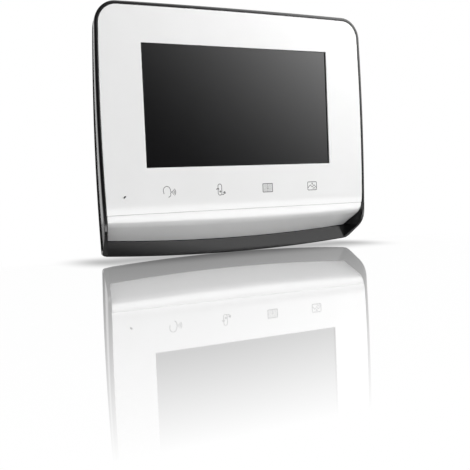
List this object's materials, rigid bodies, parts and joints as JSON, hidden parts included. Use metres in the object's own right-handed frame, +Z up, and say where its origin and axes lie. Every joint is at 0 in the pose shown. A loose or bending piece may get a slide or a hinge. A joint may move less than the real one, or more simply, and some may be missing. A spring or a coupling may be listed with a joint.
{
  "type": "video intercom monitor",
  "caption": "Slim wall-hung door-entry monitor: bowed black surround, flat white front with a wide screen and touch signs, sloping white chin over a black lower band, hooked steel wall bracket.",
  "frame": {"origin": "on the wall face of the wall bracket, straight behind the middle of the screen", "axes": "+Y into the wall, so the screen faces -Y; +Z up; +X to the right as seen from the front"},
  "size_m": [0.222, 0.025, 0.1783],
  "materials": {
    "white": "polished white plastic",
    "gloss_black": "polished black plastic",
    "matt_black": "fine spark-eroded grain",
    "black_glass": "tinted polished glass, black when off",
    "lcd_glass": "satin polariser on glass",
    "steel": "tin-plated sheet",
    "bracket_steel": "zinc-plated sheet",
    "screw_steel": "zinc-plated",
    "milky": "milky moulded plastic",
    "grey_plastic": "moulded plastic",
    "circuit_board": "solder mask on glass epoxy",
    "ribbon": "polyimide film",
    "chip": "moulded epoxy",
    "aluminium": "drawn can",
    "rubber": "soft matt rubber",
    "paper": "pressed paper pulp",
    "terminal": "moulded plastic",
    "orange": "moulded plastic"
  },
  "bodies": {
    "wall_bracket": {"wall_bracket": "bracket_steel"},
    "monitor": {"front_plate": "white", "chin_cover": "white", "front_frame": "gloss_black", "rear_cover": "matt_black", "display_glass": "black_glass", "lcd_bezel": "steel", "lcd_cell": "lcd_glass", "backlight_unit": "milky", "inner_chassis": "grey_plastic", "main_board": "circuit_board", "shield_can": "steel", "processor": "chip", "capacitor_1": "aluminium", "capacitor_2": "aluminium", "display_connector": "milky", "display_ribbon": "ribbon", "touch_key_board": "circuit_board", "touch_ribbon": "ribbon", "microphone_boot": "rubber", "microphone": "aluminium", "speaker_basket": "steel", "speaker_magnet": "steel", "speaker_cone": "paper", "speaker_gasket": "rubber", "terminal_block": "terminal", "card_socket": "steel", "switch_body": "chip", "reset_switch": "chip", "cover_screw_1": "screw_steel", "cover_screw_2": "screw_steel", "cover_screw_3": "screw_steel", "cover_screw_4": "screw_steel", "chassis_screw_1": "screw_steel", "chassis_screw_2": "screw_steel", "chassis_screw_3": "screw_steel", "chassis_screw_4": "screw_steel", "board_screw_1": "screw_steel", "board_screw_2": "screw_steel", "board_screw_3": "screw_steel", "board_screw_4": "screw_steel", "wall_pad_1": "rubber", "wall_pad_2": "rubber"},
    "memory_card": {"memory_card": "chip"},
    "power_switch": {"power_switch": "matt_black"},
    "reset_button": {"reset_button": "matt_black"},
    "terminal_tab_1": {"terminal_tab_1": "orange"},
    "terminal_tab_2": {"terminal_tab_2": "orange"},
    "terminal_tab_3": {"terminal_tab_3": "orange"},
    "terminal_tab_4": {"terminal_tab_4": "orange"}
  },
  "joints": [
    {"name": "monitor_lift", "type": "slide", "parent": "wall_bracket", "child": "monitor", "axis": [0, 0, 1], "range_m": [0, 0.008]},
    {"name": "power_switch_slide", "type": "slide", "parent": "monitor", "child": "power_switch", "axis": [0, 0, -1], "range_m": [0, 0.003]},
    {"name": "reset_button_press", "type": "slide", "parent": "monitor", "child": "reset_button", "axis": [-1, 0, 0], "range_m": [0, 0.0006], "stiffness_N_per_m": 800},
    {"name": "memory_card_slide", "type": "slide", "parent": "monitor", "child": "memory_card", "axis": [1, 0, 0], "range_m": [0, 0.012]},
    {"name": "terminal_tab_1_press", "type": "slide", "parent": "monitor", "child": "terminal_tab_1", "axis": [0, -1, 0], "range_m": [0, 0.0012], "stiffness_N_per_m": 500},
    {"name": "terminal_tab_2_press", "type": "slide", "parent": "monitor", "child": "terminal_tab_2", "axis": [0, -1, 0], "range_m": [0, 0.0012], "stiffness_N_per_m": 500},
    {"name": "terminal_tab_3_press", "type": "slide", "parent": "monitor", "child": "terminal_tab_3", "axis": [0, -1, 0], "range_m": [0, 0.0012], "stiffness_N_per_m": 500},
    {"name": "terminal_tab_4_press", "type": "slide", "parent": "monitor", "child": "terminal_tab_4", "axis": [0, -1, 0], "range_m": [0, 0.0012], "stiffness_N_per_m": 500}
  ]
}
